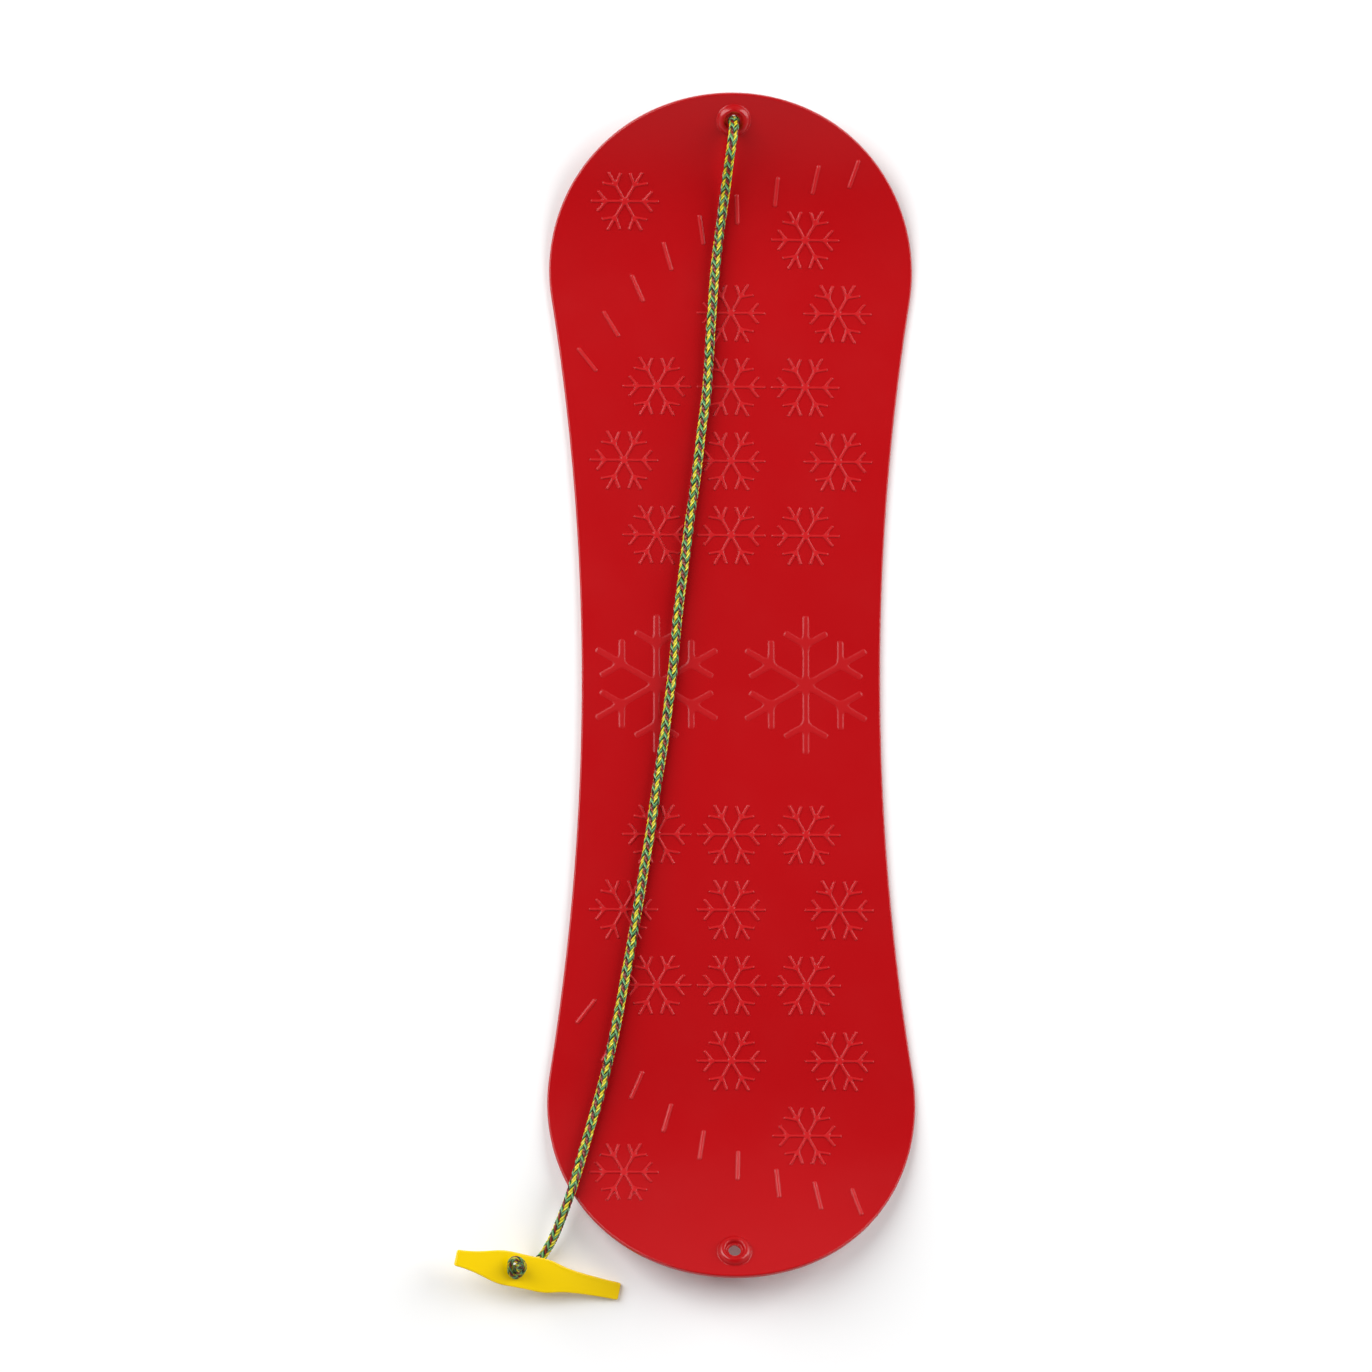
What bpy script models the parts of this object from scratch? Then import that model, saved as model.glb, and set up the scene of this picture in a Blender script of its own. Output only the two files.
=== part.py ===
"""A children's snowboard: one moulded plastic board with kicked-up ends and a snowflake grip relief,
a tow rope knotted under the nose, and a moulded tow handle that turns on the rope's other end.

The board lies on its flat base. +Z is up, +Y points to the nose, and the origin is the middle of the base.
"""
import bmesh
import bpy
import numpy as np
from math import atan2, ceil, copysign, cos, pi, radians, sin
from mathutils import Matrix, Vector

MM = 0.001
CLEARANCE = 0.3 * MM  # between pieces that touch
CURVE_STEPS = 8
OUTLINE_CURVE_STEPS = 3

# The sheet, as it would lie before its ends are rolled up
SHEET_LENGTH = 914 * MM
END_WIDTH = 278 * MM
SIDECUT_DEPTH = 25.5 * MM
WALL = 4.2 * MM
EDGE_RADIUS = 1.6 * MM
KICK_LENGTH = 157 * MM
KICK_RADIUS = 300 * MM
END_STEPS = 32
SIDE_STEPS = 10
KICK_STEPS = 9

HALF_SHEET = SHEET_LENGTH / 2
HALF_WAIST = END_WIDTH / 2 - SIDECUT_DEPTH
END_REACH = HALF_SHEET - END_WIDTH / 2
KICK_START = HALF_SHEET - KICK_LENGTH

# Grip relief
RELIEF_HEIGHT = 1.0 * MM
RELIEF_DRAFT = 0.45 * MM
FLAKE_LINE = 2.5 * MM
FLAKE_SPACING = 4.2 * MM  # between the tips of two flakes side by side
FLAKE_BRANCH_START_SHARE = 0.54
FLAKE_BRANCH_SHARE = 0.4
FLAKE_BRANCH_ANGLE = radians(50)
FLAKE_COLUMN_SHARE = 0.5
FLAKE_ROW_SHARE = 0.125
BIG_FLAKE_LINE = 5.6 * MM
BIG_FLAKE_MARGIN = 10.5 * MM  # from the waist's edge
BIG_FLAKE_BRANCH_START_SHARE = 0.57
BIG_FLAKE_BRANCH_SHARE = 0.36
BIG_FLAKE_BRANCH_ANGLE = radians(60)
ARMS = 6
# Columns and rows of the small flakes: shares of the column and row steps
FLAKE_PLACE_SHARES = (
    (-1, 2), (0, 2), (1, 2),
    (-1.44, 3), (0, 3), (1.44, 3),
    (-1, 4), (0, 4), (1, 4),
    (0, 5), (1.44, 5),
    (1, 6),
    (-1.44, 6.5),
)

# Plain grip ribs in an arc over each end: shares of the end's radius, from the middle of its round
RIB_LENGTH = 24 * MM
RIB_LINE = 3.4 * MM
RIB_LEAN = radians(24)
RIB_END_STEPS = 3
RIB_PLACE_SHARES = (
    (-0.79, -0.5), (-0.66, -0.3), (-0.515, -0.1), (-0.35, 0.08), (-0.165, 0.23),
    (0.03, 0.345), (0.245, 0.445), (0.46, 0.515), (0.67, 0.55),
)
RIB_FAN_SHARES = (0.87, -1.37)  # the arc's centre

# Raised boss with a dished hole for the rope, and the pocket for a knot under it
BOSS_FROM_TIP = 21.5 * MM
BOSS_RADIUS = 13.3 * MM
BOSS_HEIGHT = 4.0 * MM
BOSS_PROFILE_SHARES = ((0.9, 0.5), (0.76, 0.92), (0.66, 1.0), (0.56, 0.9), (0.46, 0.35), (0.4, 0.3))
POCKET_RADIUS = 12.6 * MM
POCKET_DEPTH = 3.0 * MM
POCKET_DRAFT = 0.8 * MM
ROUND_STEPS = 20

# Tow rope: 8 mm braid, laid out by hand from the nose knot to the handle, as centreline points in mm
ROPE_DIAMETER = 8 * MM
ROPE_HOLE_CLEARANCE = 0.7 * MM
ROPE_RESOLUTION = 2
ROPE_STEP = 20 * MM
ROPE_SQUARE_END = 1.0 * MM
ROPE_TURN = radians(14)  # a bend gets a point each time the rope has turned so far
LEAD_SPANS = 4  # as far as the top of its bend over the boss
ROPE_ROUTE = (
    (0, 429.5, 33.0), (0, 427.5, 37.2), (-0.2, 423.8, 42.0), (-0.9, 418.3, 45.9), (-1.9, 411.1, 47.5),
    (-3, 403.1, 45.6), (-3.9, 395.3, 39.8), (-4.5, 389.8, 34.8), (-5.2, 381.8, 28.4), (-6.3, 371.9, 22.1),
    (-7.8, 359.1, 16.6), (-9.6, 343.9, 13.0), (-11.8, 324.2, 10.6), (-13.9, 300, 9.7), (-16, 271, 9.6),
    (-18.8, 224.7, 9.6), (-23.4, 189.8, 9.6), (-27.2, 157.9, 9.6), (-31.7, 126, 9.6), (-36.3, 89.6, 9.6),
    (-41.2, 50.9, 9.6), (-44.4, 12.9, 9.6), (-48.1, -16.7, 9.6), (-52.4, -48.6, 9.6), (-56.9, -78, 9.6),
    (-61.6, -112.3, 9.6), (-66.6, -141.2, 9.6), (-71.7, -173, 9.6), (-76.7, -202.7, 9.6), (-81.8, -230, 9.6),
    (-87.7, -260.3, 9.6), (-92.8, -284, 9.7), (-99, -309, 10.2), (-107.5, -338, 12.6), (-114.7, -362, 17),
    (-121.5, -384, 22.6), (-128.3, -403, 21), (-134.2, -418, 13.8), (-140.2, -429.2, 8), (-144.2, -434.5, 5.6),
    (-149.8, -438.8, 4.9), (-156, -441.5, 6.9), (-161.3, -442.6, 11.5), (-164.3, -442.8, 17.8),
    (-164.6, -442.9, 22.4), (-164, -443, 25),
)

# Overhand knots, pulled tight: centreline points as shares of the spacing of two strands that touch
KNOT_STRAND = 4.2 * MM
KNOT_GAP = 0.75 * MM
KNOT_STEP_SHARE = 0.42
KNOT_POINT_SHARES = (
    (0, 0, 0), (0, 0, 0.4), (-0.05, -0.03, 0.85), (-0.2, -0.15, 1.25), (-0.28, -0.4, 1.62), (-0.1, -0.63, 1.93),
    (0.3, -0.7, 2.2), (0.8, -0.57, 2.39), (1.25, -0.15, 2.44), (1.54, 0.4, 2.35), (1.55, 0.9, 2.13),
    (1.25, 1.25, 1.8), (0.8, 1.33, 1.5), (0.3, 1.2, 1.28), (-0.3, 0.97, 1.02), (-0.75, 0.7, 0.8),
    (-0.97, 0.2, 0.6), (-0.93, -0.32, 0.53), (-0.6, -0.78, 0.6), (-0.1, -1.0, 0.8), (0.4, -0.9, 1.05),
    (0.73, -0.5, 1.3), (0.76, -0.05, 1.55), (0.55, 0.25, 1.95), (0.38, 0.33, 2.35), (0.4, 0.25, 2.8),
    (0.45, 0.12, 3.2), (0.5, 0, 3.6),
)

# Tow handle: a flat plate, widest round its hole, seen from above
HANDLE_LENGTH = 130.5 * MM
HANDLE_WIDTH = 26 * MM
HANDLE_THICKNESS = 3.6 * MM
HANDLE_EDGE_RADIUS = 1.0 * MM
HANDLE_HOLE_CLEARANCE = 1.2 * MM
HANDLE_HOLE_SHARE = 0.355
HANDLE_TURN = radians(-11.1)
HANDLE_TILT = radians(15)  # until its long end reaches the ground
# Along its length, and the half width there
HANDLE_OUTLINE_SHARES = (
    (0, 0.47), (0.07, 0.53), (0.15, 0.68), (0.24, 0.91), (0.3, 0.99), (0.38, 0.98), (0.45, 0.97), (0.52, 0.985),
    (0.58, 0.92), (0.64, 0.77), (0.7, 0.67), (0.77, 0.6), (0.85, 0.55), (0.93, 0.52), (1.0, 0.5),
)


def clear_scene():
    for thing in list(bpy.data.objects):
        bpy.data.objects.remove(thing, do_unlink=True)


def material(name, colour, roughness, metallic=0.0):
    made = bpy.data.materials.new(name)
    made.use_nodes = True
    shader = made.node_tree.nodes["Principled BSDF"]
    shader.inputs["Base Color"].default_value = (*colour, 1.0)
    shader.inputs["Roughness"].default_value = roughness
    shader.inputs["Metallic"].default_value = metallic
    made.diffuse_color = (*colour, 1.0)
    return made


def show(name, data, finish, smooth_angle=radians(32)):
    thing = bpy.data.objects.new(name, data)
    bpy.context.scene.collection.objects.link(thing)
    data.materials.append(finish)
    if thing.type == "MESH":
        data.shade_smooth()
        data.set_sharp_from_angle(angle=smooth_angle)
    return thing


def arc(centre, radius, start, end, steps):
    """Points along an arc, without its last, so that arcs join end to end."""
    angles = [start + (end - start) * step / steps for step in range(steps)]
    return [(centre[0] + radius * cos(angle), centre[1] + radius * sin(angle)) for angle in angles]


def smoothed(points, pieces):
    """A Catmull-Rom curve through the points, with that many pieces between two of them."""
    known = [Vector(point) for point in points]
    known = [known[0] * 2 - known[1]] + known + [known[-1] * 2 - known[-2]]
    curve = []
    for a, b, c, d in zip(known, known[1:], known[2:], known[3:]):
        for piece in range(pieces):
            t = piece / pieces
            bend = (c - a) * t + (a * 2 - b * 5 + c * 4 - d) * t**2 + (b * 3 - a - c * 3 + d) * t**3
            curve.append(b + bend / 2)
    return curve + [known[-2]]


def evenly(points, step):
    """The same line with points about step apart, ends included."""
    line = np.array(points)
    along = np.concatenate([[0], np.cumsum(np.linalg.norm(np.diff(line, axis=0), axis=1))])
    places = np.linspace(0, along[-1], ceil(along[-1] / step) + 1)
    return [Vector([np.interp(place, along, line[:, axis]) for axis in range(3)]) for place in places]


def side_arc_radius():
    """The sidecut's radius: its arc touches both end arcs and passes the waist."""
    return (END_REACH**2 + HALF_WAIST**2 - (END_WIDTH / 2) ** 2) / (2 * SIDECUT_DEPTH)


def sheet_outline():
    """Four arcs, anticlockwise: right sidecut, nose, left sidecut, tail."""
    end_radius = END_WIDTH / 2
    side_radius = side_arc_radius()
    side_x = HALF_WAIST + side_radius
    lean = atan2(END_REACH, side_x)
    outline = arc((side_x, 0), side_radius, pi + lean, pi - lean, SIDE_STEPS)
    outline += arc((0, END_REACH), end_radius, -lean, pi + lean, END_STEPS)
    outline += arc((-side_x, 0), side_radius, lean, -lean, SIDE_STEPS)
    outline += arc((0, -END_REACH), end_radius, pi - lean, 2 * pi + lean, END_STEPS)
    return outline


def bent(point):
    """Where a point of the flat sheet comes to lie when its ends are rolled up."""
    x, y, z = point
    beyond = abs(y) - KICK_START
    if beyond <= 0:
        return Vector(point)
    angle = beyond / KICK_RADIUS
    reach = KICK_RADIUS - z
    return Vector((x, copysign(KICK_START + reach * sin(angle), y), KICK_RADIUS - reach * cos(angle)))


def turned(x, y, angle):
    return x * cos(angle) - y * sin(angle), x * sin(angle) + y * cos(angle)


def flake_outline(centre, radius, line, branch_start, branch_length, branch_angle, first_arm):
    """A six-armed flake with one pair of branches on each arm."""
    half = line / 2
    near = half * (1 - cos(branch_angle)) / sin(branch_angle)
    far = half * (1 + cos(branch_angle)) / sin(branch_angle)

    def on_branch(along, across):
        along_arm = branch_start + along * cos(branch_angle) + across * sin(branch_angle)
        return along_arm, along * sin(branch_angle) - across * cos(branch_angle)

    upper = [
        on_branch(near, -half),
        on_branch(branch_length, -half),
        on_branch(branch_length, half),
        on_branch(far, half),
        (radius, half),
    ]
    lower = [(x, -y) for x, y in upper]
    crotch = turned(line, 0, -pi / ARMS)
    arm = [crotch] + lower + upper[::-1]
    points = []
    for number in range(ARMS):
        angle = first_arm + 2 * pi * number / ARMS
        for x, y in arm:
            x, y = turned(x, y, angle)
            points.append((centre[0] + x, centre[1] + y))
    return points


def small_flakes():
    column = HALF_WAIST * FLAKE_COLUMN_SHARE
    row = HALF_SHEET * FLAKE_ROW_SHARE
    radius = (min(column, row) - FLAKE_SPACING) / 2
    start = radius * FLAKE_BRANCH_START_SHARE
    length = radius * FLAKE_BRANCH_SHARE
    return [
        flake_outline((x * column, end * y * row), radius, FLAKE_LINE, start, length, FLAKE_BRANCH_ANGLE, 0)
        for x, y in FLAKE_PLACE_SHARES
        for end in (1, -1)
    ]


def big_flakes():
    column = HALF_WAIST * FLAKE_COLUMN_SHARE
    radius = (HALF_WAIST - column - BIG_FLAKE_MARGIN) / cos(pi / ARMS)
    start = radius * BIG_FLAKE_BRANCH_START_SHARE
    length = radius * BIG_FLAKE_BRANCH_SHARE
    return [
        flake_outline((side * column, 0), radius, BIG_FLAKE_LINE, start, length, BIG_FLAKE_BRANCH_ANGLE, pi / 2)
        for side in (1, -1)
    ]


def rib_outline(centre, angle):
    """A straight rib with round ends."""
    half = RIB_LINE / 2
    reach = RIB_LENGTH / 2 - half
    points = arc((reach, 0), half, -pi / 2, pi / 2, RIB_END_STEPS) + [(reach, half)]
    points += arc((-reach, 0), half, pi / 2, 3 * pi / 2, RIB_END_STEPS) + [(-reach, -half)]
    return [(centre[0] + x, centre[1] + y) for x, y in (turned(x, y, angle) for x, y in points)]


def ribs():
    """One arc of leaning ribs at the nose, and its mirror image at the tail."""
    outlines = []
    for x_share, y_share in RIB_PLACE_SHARES:
        angle = atan2(y_share - RIB_FAN_SHARES[1], x_share - RIB_FAN_SHARES[0]) - RIB_LEAN
        nose = rib_outline((x_share * END_WIDTH / 2, END_REACH + y_share * END_WIDTH / 2), angle)
        outlines += [nose, [(x, -y) for x, y in nose][::-1]]
    return outlines


def ring(bm, points, height):
    corners = [bm.verts.new((x, y, height)) for x, y in points]
    return corners, [bm.edges.new(pair) for pair in zip(corners, corners[1:] + corners[:1])]


def rounded(bm, face, radius):
    """Carries a face on by its radius, round the edge in two steps."""
    for share_in, share_out in ((1 - cos(pi / 4), sin(pi / 4)), (cos(pi / 4), 1 - sin(pi / 4))):
        bmesh.ops.inset_region(
            bm, faces=[face], thickness=radius * share_in, depth=radius * share_out, use_even_offset=True
        )


def fill_between(bm, boundary, rings, normal):
    edges = boundary + [edge for _, edges in rings for edge in edges]
    bmesh.ops.triangle_fill(bm, edges=edges, use_beauty=True, use_dissolve=False, normal=normal)


def capped(bm, corners, normal):
    face = bm.faces.new(corners)
    face.normal_update()
    if face.normal.dot(normal) < 0:
        face.normal_flip()
    return face


def raise_relief(bm, corners):
    face = capped(bm, corners, Vector((0, 0, 1)))
    bmesh.ops.inset_region(
        bm, faces=[face], thickness=RELIEF_DRAFT, depth=RELIEF_HEIGHT, use_even_offset=True
    )


def boss_mouth(bm, corners):
    """Turns a circle on the deck into the raised, dished ring, and gives the face at the hole's mouth."""
    face = capped(bm, corners, Vector((0, 0, 1)))
    radius, height = BOSS_RADIUS, 0
    for radius_share, height_share in BOSS_PROFILE_SHARES:
        step_in = radius - BOSS_RADIUS * radius_share
        step_up = BOSS_HEIGHT * height_share - height
        bmesh.ops.inset_region(bm, faces=[face], thickness=step_in, depth=step_up, use_even_offset=True)
        radius, height = BOSS_RADIUS * radius_share, BOSS_HEIGHT * height_share
    return hole_face(bm, face, radius)


def pocket_mouth(bm, corners):
    face = capped(bm, corners, Vector((0, 0, -1)))
    bmesh.ops.inset_region(bm, faces=[face], thickness=POCKET_DRAFT, depth=-POCKET_DEPTH, use_even_offset=True)
    return hole_face(bm, face, POCKET_RADIUS - POCKET_DRAFT)


def hole_face(bm, face, radius):
    hole = ROPE_DIAMETER / 2 + ROPE_HOLE_CLEARANCE
    bmesh.ops.inset_region(bm, faces=[face], thickness=radius - hole, use_even_offset=True)
    return face


def make_board(finish):
    bm = bmesh.new()
    corners, _ = ring(bm, sheet_outline(), EDGE_RADIUS)
    lower = capped(bm, corners, Vector((0, 0, -1)))
    corners, _ = ring(bm, sheet_outline(), WALL - EDGE_RADIUS)
    upper = capped(bm, corners, Vector((0, 0, 1)))
    bmesh.ops.bridge_loops(bm, edges=list(lower.edges) + list(upper.edges))
    for face in (lower, upper):
        rounded(bm, face, EDGE_RADIUS)
    base_edges, deck_edges = list(lower.edges), list(upper.edges)
    bmesh.ops.delete(bm, geom=[lower, upper], context="FACES_ONLY")

    boss_y = HALF_SHEET - BOSS_FROM_TIP
    reliefs = [ring(bm, outline, WALL) for outline in small_flakes() + big_flakes() + ribs()]
    bosses = [ring(bm, arc((0, end * boss_y), BOSS_RADIUS, 0, 2 * pi, ROUND_STEPS), WALL) for end in (1, -1)]
    pockets = [ring(bm, arc((0, end * boss_y), POCKET_RADIUS, 0, 2 * pi, ROUND_STEPS), 0) for end in (1, -1)]
    fill_between(bm, deck_edges, reliefs + bosses, (0, 0, 1))
    fill_between(bm, base_edges, pockets, (0, 0, -1))
    for corners, _ in reliefs:
        raise_relief(bm, corners)
    for (boss, _), (pocket, _) in zip(bosses, pockets):
        mouths = [boss_mouth(bm, boss), pocket_mouth(bm, pocket)]
        edges = [edge for mouth in mouths for edge in mouth.edges]
        bmesh.ops.delete(bm, geom=mouths, context="FACES_ONLY")
        bmesh.ops.bridge_loops(bm, edges=edges)

    for end in (1, -1):
        for step in range(KICK_STEPS):
            station = KICK_START + KICK_LENGTH * step / KICK_STEPS
            everything = list(bm.verts) + list(bm.edges) + list(bm.faces)
            bmesh.ops.bisect_plane(bm, geom=everything, plane_co=(0, end * station, 0), plane_no=(0, 1, 0))
    bmesh.ops.triangulate(bm, faces=list(bm.faces))
    bmesh.ops.recalc_face_normals(bm, faces=list(bm.faces))
    for corner in bm.verts:
        corner.co = bent(corner.co)
    mesh = bpy.data.meshes.new("board")
    bm.to_mesh(mesh)
    bm.free()
    return show("board", mesh, finish)


def tube(name, points, diameter, finish):
    curve = bpy.data.curves.new(name, "CURVE")
    curve.dimensions = "3D"
    curve.bevel_depth = diameter / 2
    curve.bevel_resolution = ROPE_RESOLUTION
    curve.use_fill_caps = True
    line = curve.splines.new("POLY")
    line.points.add(len(points) - 1)
    for place, point in zip(line.points, points):
        place.co = (*point, 1)
    return show(name, curve, finish)


def thinned(line):
    """The points of a fine line that a tube needs: more where it bends, and square ends."""
    kept = [line[0], line[1]]
    heading = line[1] - line[0]
    for point, after in zip(line[2:], line[3:-1]):
        ahead = after - point
        if ahead.angle(heading) > ROPE_TURN or (point - kept[-1]).length > ROPE_STEP:
            kept.append(point)
            heading = ahead
    return kept + [line[-2], line[-1]]


def make_rope(finish):
    """The rope from the nose knot over the boss, and the free run from there to the handle's knot."""
    line = smoothed([Vector(point) * MM for point in ROPE_ROUTE], CURVE_STEPS)
    split = LEAD_SPANS * CURVE_STEPS
    ahead = (line[split + 1] - line[split - 1]).normalized()
    gap, square = ahead * CLEARANCE / 2, ahead * ROPE_SQUARE_END
    before, after = line[split] - gap, line[split] + gap
    tube("rope_lead", thinned(line[: split - 1] + [before - square, before]), ROPE_DIAMETER, finish)
    tube("tow_rope", thinned([after, after + square] + line[split + 2 :]), ROPE_DIAMETER, finish)
    return line


def make_knot(name, end, ahead, finish):
    """A knot that carries on where the rope ends, beyond the clearance between the two solids."""
    pitch = KNOT_STRAND + KNOT_GAP
    place = Matrix.Translation(end + ahead * CLEARANCE) @ ahead.to_track_quat("Z", "Y").to_matrix().to_4x4()
    points = [Vector(point) * pitch for point in KNOT_POINT_SHARES]
    line = evenly(smoothed(points, CURVE_STEPS), pitch * KNOT_STEP_SHARE)
    print(name, "least gap between its strands:", round(least_gap(line) / MM, 2), "mm")
    return tube(name, [place @ point for point in line], KNOT_STRAND, finish)


def least_gap(line):
    """The least gap between two strands of a knot, from centrelines a turn or more apart."""
    places = np.array(line)
    step = np.linalg.norm(places[1] - places[0])
    turn = ceil(pi / 2 * KNOT_STRAND / step)
    apart = np.linalg.norm(places[:, None] - places[None], axis=2)
    first, second = np.indices(apart.shape)
    return apart[second - first >= turn].min() - KNOT_STRAND


def make_handle(rope_end, finish):
    """The plate leans on the rope's last bend, with its hole round the rope and its long end down."""
    along = [(x * HANDLE_LENGTH, y * HANDLE_WIDTH / 2, 0) for x, y in HANDLE_OUTLINE_SHARES]
    upper = [(point.x, point.y) for point in smoothed(along, OUTLINE_CURVE_STEPS)]
    outline = [(x, -y) for x, y in upper] + upper[::-1]
    bm = bmesh.new()
    hole_radius = ROPE_DIAMETER / 2 + HANDLE_HOLE_CLEARANCE
    centre = (HANDLE_LENGTH * HANDLE_HOLE_SHARE, 0)
    side = HANDLE_THICKNESS / 2
    faces, holes = [], []
    for z, normal in ((-side, -1), (side, 1)):
        corners, edges = ring(bm, outline, z - normal * HANDLE_EDGE_RADIUS)
        faces.append(capped(bm, corners, Vector((0, 0, normal))))
    bmesh.ops.bridge_loops(bm, edges=list(faces[0].edges) + list(faces[1].edges))
    for face, z, normal in zip(faces, (-side, side), (-1, 1)):
        rounded(bm, face, HANDLE_EDGE_RADIUS)
        boundary = list(face.edges)
        bmesh.ops.delete(bm, geom=[face], context="FACES_ONLY")
        holes.append(ring(bm, arc(centre, hole_radius, 0, 2 * pi, ROUND_STEPS), z))
        fill_between(bm, boundary, holes[-1:], (0, 0, normal))
    bmesh.ops.bridge_loops(bm, edges=[edge for _, edges in holes for edge in edges])
    bmesh.ops.recalc_face_normals(bm, faces=list(bm.faces))
    bmesh.ops.translate(bm, verts=list(bm.verts), vec=(-centre[0], 0, CLEARANCE - side))
    mesh = bpy.data.meshes.new("tow_handle")
    bm.to_mesh(mesh)
    bm.free()
    handle = show("tow_handle", mesh, finish)
    handle.location = rope_end
    handle.rotation_euler = (0, HANDLE_TILT, HANDLE_TURN)
    return handle


def build():
    clear_scene()
    red = material("red_polyethylene", (0.5, 0.012, 0.016), 0.3)
    braid = material("braided_rope", (0.45, 0.45, 0.1), 0.8)
    yellow = material("yellow_plastic", (0.9, 0.62, 0.01), 0.4)
    make_board(red)
    line = make_rope(braid)
    handle = make_handle(line[-1], yellow)
    make_knot("nose_knot", line[0], (line[0] - line[1]).normalized(), braid)
    make_knot("handle_knot", line[-1], handle.rotation_euler.to_matrix().col[2], braid)


build()
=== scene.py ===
"""The looks of a children's snowboard: a glossy red moulded board with a raised snowflake grip, a braided
yellow and green tow rope with its two stopper knots, and a flat yellow tow handle.
"""

from math import atan2, ceil, copysign, cos, pi, radians, sin, tan

import bmesh
import bpy
import numpy as np
from mathutils import Matrix, Vector


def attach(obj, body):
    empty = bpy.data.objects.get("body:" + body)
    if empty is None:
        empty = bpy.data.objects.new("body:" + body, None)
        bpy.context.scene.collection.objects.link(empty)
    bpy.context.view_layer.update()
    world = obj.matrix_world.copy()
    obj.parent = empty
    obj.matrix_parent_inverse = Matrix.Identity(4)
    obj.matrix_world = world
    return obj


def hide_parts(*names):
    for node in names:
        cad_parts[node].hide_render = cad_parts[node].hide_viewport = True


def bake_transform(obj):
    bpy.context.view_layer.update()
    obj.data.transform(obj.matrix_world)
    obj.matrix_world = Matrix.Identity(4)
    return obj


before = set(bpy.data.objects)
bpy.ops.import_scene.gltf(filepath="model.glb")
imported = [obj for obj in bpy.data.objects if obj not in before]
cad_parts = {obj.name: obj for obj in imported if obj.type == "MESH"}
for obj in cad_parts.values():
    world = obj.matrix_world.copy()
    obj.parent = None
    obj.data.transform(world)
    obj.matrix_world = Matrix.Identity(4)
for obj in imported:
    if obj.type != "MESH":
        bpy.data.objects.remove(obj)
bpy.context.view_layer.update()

# The camera looks down on the deck from about five metres, a little from the tail and a little from the
# left, as for a catalogue picture. The board stands a little right of the middle of the frame.
FRAME_PIXELS = 1372
BOARD_MIDDLE_PIXEL = (731, 685)
METRES_PER_PIXEL = 0.000759
CAMERA_DISTANCE = 5.0
CAMERA_TILT = radians(6.5)
CAMERA_YAW = radians(3.7)
SENSOR_WIDTH = 36.0  # in the camera's own millimetres


def place_camera():
    data = bpy.data.cameras.new("camera")
    data.sensor_width = SENSOR_WIDTH
    data.lens = SENSOR_WIDTH * CAMERA_DISTANCE / (FRAME_PIXELS * METRES_PER_PIXEL)
    data.clip_end = 4 * CAMERA_DISTANCE
    across = FRAME_PIXELS / 2 - BOARD_MIDDLE_PIXEL[0]
    upward = BOARD_MIDDLE_PIXEL[1] - FRAME_PIXELS / 2
    aim = Vector((across * METRES_PER_PIXEL, upward * METRES_PER_PIXEL, 0))
    back = Vector((-tan(CAMERA_YAW), -tan(CAMERA_TILT), 1)).normalized()
    right = Vector((0, 1, 0)).cross(back).normalized()
    turn = Matrix((right, back.cross(right), back)).transposed().to_4x4()
    camera = bpy.data.objects.new("camera", data)
    camera.matrix_world = Matrix.Translation(aim + back * CAMERA_DISTANCE) @ turn
    bpy.context.scene.collection.objects.link(camera)
    bpy.context.scene.camera = camera


place_camera()


# Tow rope. A limp 8 mm braid of polypropylene over a dark core: six strands of two yarns go round one way,
# yellow and teal by turns, and six the other way, teal and dark red by turns, over two and under two. It
# comes up through the nose boss, bends over it, lies along the deck and ends in the handle's hole.
ROPE_LAY = 0.0297  # one turn of a strand round the rope
STRANDS_EACH_WAY = 6
FLOATS_A_TURN = 3  # how often a strand comes to the top in one turn
FLOAT_MIDDLE = radians(15)
FLOAT_STEEPNESS = 1.3  # over 1, so that a strand runs level for a while on top and underneath
RINGS_PER_STRAND = 5
SEAM_WELD = 0.000001  # joins the two edges of a strip that is rolled up
STRAND_MEAN_RADIUS = 0.00257
STRAND_SWING = 0.00048  # from the mean radius, over and under
YARN_HEIGHT = 0.0006
CORE_RADIUS = 0.0022
CORE_SIDES = 8
PATTERN_TURN_LENGTH = 0.322  # in which the columns of the braid go once round the rope
PATTERN_TURN_START = radians(88)
STRAND_WANDER = 0.00016
STRAND_WANDER_LENGTHS = (0.031, 0.047)
ROUTE_PIECES = 12  # of the curve between two of the route's points
ROUTE_EASING = 12
# The colours of a strand's two yarns, and the strand's half width
YELLOW_STRAND = ((1.0, 0.93, 0.04), (1.0, 0.85, 0.02), 0.00175)
# The second yarn of each teal strand is a paler green: a painted sheen on its filaments
TEAL_STRAND = ((0.03, 0.33, 0.09), (0.26, 0.64, 0.27), 0.0008)
BROAD_TEAL_STRAND = ((0.03, 0.33, 0.09), (0.3, 0.66, 0.3), 0.001)
DARK_RED_STRAND = ((0.1, 0.007, 0.005), (0.36, 0.03, 0.02), 0.0015)
STRAND_ORDER = {1: (YELLOW_STRAND, TEAL_STRAND), -1: (BROAD_TEAL_STRAND, DARK_RED_STRAND)}
UNDER_SHADE_SHARE = 0.06  # of a yarn's colour left where it dives under, as painted shade
UNDER_SHADE_FADE = 0.8  # how soon that painted shade leaves a yarn on its way up
CORE_COLOUR = (0.03, 0.006, 0.006)
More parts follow.
